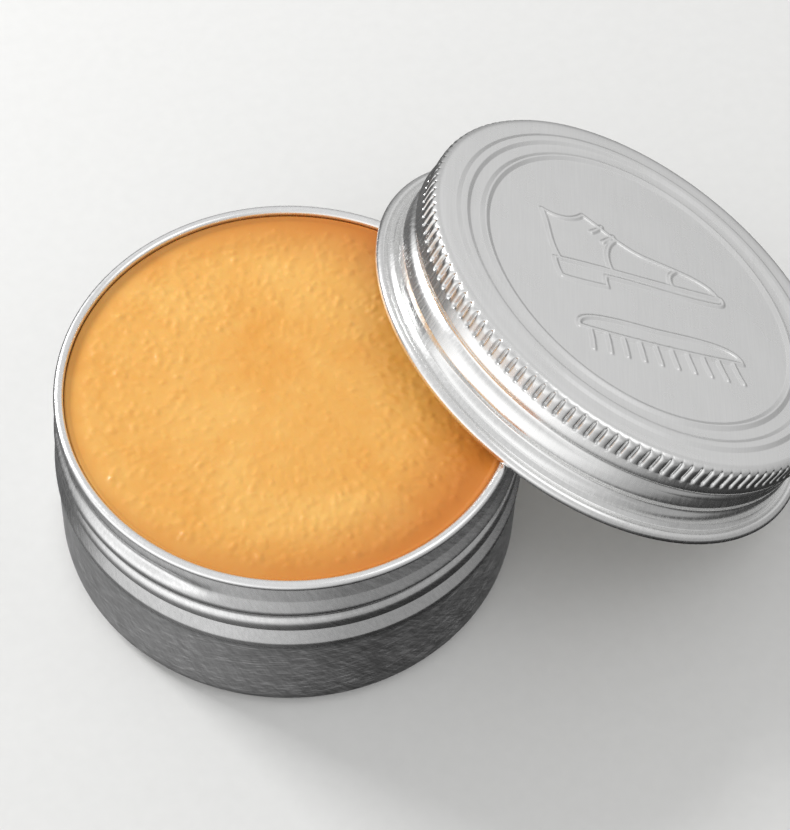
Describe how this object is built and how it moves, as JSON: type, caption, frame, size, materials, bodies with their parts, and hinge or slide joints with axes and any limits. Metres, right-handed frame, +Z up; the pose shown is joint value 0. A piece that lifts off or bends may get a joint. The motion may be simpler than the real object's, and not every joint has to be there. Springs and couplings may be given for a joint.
{
  "type": "shoe polish tin",
  "caption": "Round aluminium screw-top tin filled with shoe polish, open, with its knurled lid leaning on the rim.",
  "frame": {"origin": "centre of the tin's flat bottom, on the table", "axes": "+Z up along the tin's axis, +X towards the leaning lid"},
  "size_m": [0.133, 0.0832, 0.0524],
  "materials": {
    "tin_aluminium": "satin, lightly brushed up the neck and scuffed on the body",
    "polish_wax": "honey-coloured soft wax with a waxy sheen and small bumps",
    "lid_aluminium": "finely brushed top, bright rolled edges",
    "liner_foam": "white closed-cell foam"
  },
  "bodies": {
    "tin": {"tin_base": "tin_aluminium", "wax_fill": "polish_wax"},
    "lid_seal": {"lid_liner": "liner_foam"},
    "lid": {"lid_shell": "lid_aluminium"}
  },
  "joints": [
    {"name": "lid_lift", "type": "slide", "parent": "tin", "child": "lid_seal", "axis": [0, 0, 1], "range_m": [0, 0.06]},
    {"name": "lid_turn", "type": "hinge", "parent": "lid_seal", "child": "lid", "pos_m": [0.0537, 0, 0.02003], "axis": [0.4894, 0, 0.8721], "continuous": true}
  ]
}
